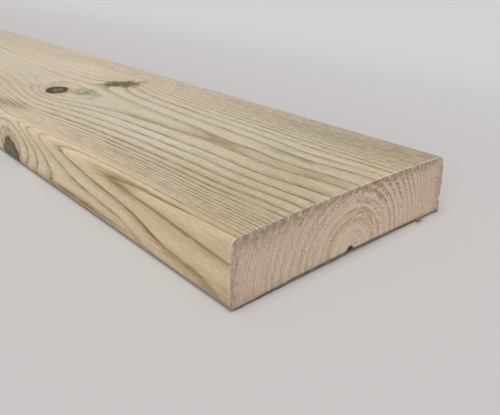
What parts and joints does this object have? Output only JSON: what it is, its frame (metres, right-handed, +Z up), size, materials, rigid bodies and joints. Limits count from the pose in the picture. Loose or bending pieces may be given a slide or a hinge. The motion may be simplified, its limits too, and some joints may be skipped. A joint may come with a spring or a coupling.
{
  "type": "timber plank",
  "caption": "Long flat board of treated softwood with eased long edges, a slight cup and square-cut ends, for fencing, cladding, decking or shelving.",
  "frame": {"origin": "on the floor, under the middle of the board's length and width", "axes": "+X along the grain towards the pictured cut end, +Y across the width, +Z up through the thickness, from the heart side to the bark side"},
  "size_m": [1.8, 0.1, 0.0228],
  "materials": {
    "timber": "sawn and planed, pale green-yellow treated softwood with visible rings and knots"
  },
  "bodies": {
    "root": {"plank": "timber"}
  },
  "joints": []
}
